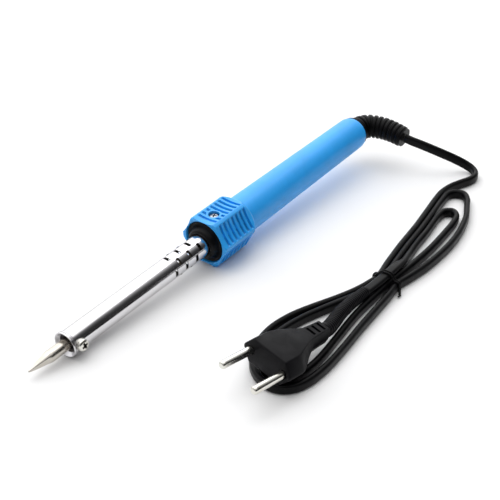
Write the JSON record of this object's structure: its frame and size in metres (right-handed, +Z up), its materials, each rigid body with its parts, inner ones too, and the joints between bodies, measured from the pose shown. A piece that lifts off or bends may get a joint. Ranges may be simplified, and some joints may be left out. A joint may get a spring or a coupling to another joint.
{
  "type": "soldering iron",
  "caption": "Pencil soldering iron: conical tip in a vented steel barrel, blue ribbed-collar handle, ribbed strain relief, flat lead folded in a tied hank, two-pin plug.",
  "frame": {"origin": "bottom centre of the iron itself, tip to rear ring, on the surface that it lies on; the lead, strain relief and plug don't count", "axes": "+X along the iron towards the tip, +Y to the side where the lead lies, +Z up"},
  "size_m": [0.2857, 0.1146, 0.0302],
  "materials": {
    "plated_tip": "satin plated, slightly warm",
    "polished_steel": "polished",
    "nickel": "bright nickel",
    "ceramic": "unglazed",
    "resistance_wire": "drawn wire, dull",
    "mica": "flaky, translucent brown",
    "black_plastic": "moulded, satin",
    "blue_plastic": "moulded, satin",
    "brass": "tinned in places",
    "glass_sleeve": "braided",
    "core_brown": "smooth insulation",
    "core_blue": "smooth insulation",
    "cord_rubber": "soft, satin",
    "plug_plastic": "fine-grained, satin"
  },
  "bodies": {
    "iron": {"nose_ferrule": "polished_steel", "barrel_tube": "polished_steel", "heater_core": "ceramic", "heater_winding": "resistance_wire", "mica_wrap": "mica", "heater_end_cap": "ceramic", "heater_lead_1": "resistance_wire", "heater_lead_2": "resistance_wire", "lead_sleeve_1": "glass_sleeve", "lead_sleeve_2": "glass_sleeve", "insulator": "black_plastic", "barrel_screw_top": "nickel", "barrel_screw_bottom": "nickel", "handle_shell": "blue_plastic", "crimp_1": "brass", "crimp_2": "brass", "cord_core_1": "core_brown", "cord_core_2": "core_blue", "inner_cord": "cord_rubber", "cord_clamp_base": "black_plastic", "cord_clamp_plate": "black_plastic", "cord_clamp_screw_1": "brass", "cord_clamp_screw_2": "brass", "rear_ring": "black_plastic", "strain_relief": "cord_rubber", "cord_lead": "cord_rubber", "cord_hank": "cord_rubber", "twist_tie": "black_plastic", "plug_body": "plug_plastic", "plug_pin_1": "nickel", "plug_pin_2": "nickel", "plug_boot": "plug_plastic"},
    "tip": {"tip": "plated_tip"},
    "clamp_washer": {"clamp_washer": "nickel"},
    "clamp_screw": {"clamp_screw": "nickel"}
  },
  "joints": [
    {"name": "tip_slide", "type": "slide", "parent": "iron", "child": "tip", "axis": [0.998, 0, -0.0634], "range_m": [0, 0.035]},
    {"name": "clamp_screw_lift", "type": "slide", "parent": "iron", "child": "clamp_washer", "axis": [0.0066, 0.9945, 0.1043], "range_m": [0, 0.0025]},
    {"name": "clamp_screw_turn", "type": "hinge", "parent": "clamp_washer", "child": "clamp_screw", "pos_m": [0.09978, 0.00796, 0.00769], "axis": [0.0066, 0.9945, 0.1043], "range_deg": [0, 1800]}
  ],
  "couplings": [
    {"joint": "clamp_screw_turn", "follows": "clamp_screw_lift", "rad_per_m": 12566}
  ]
}
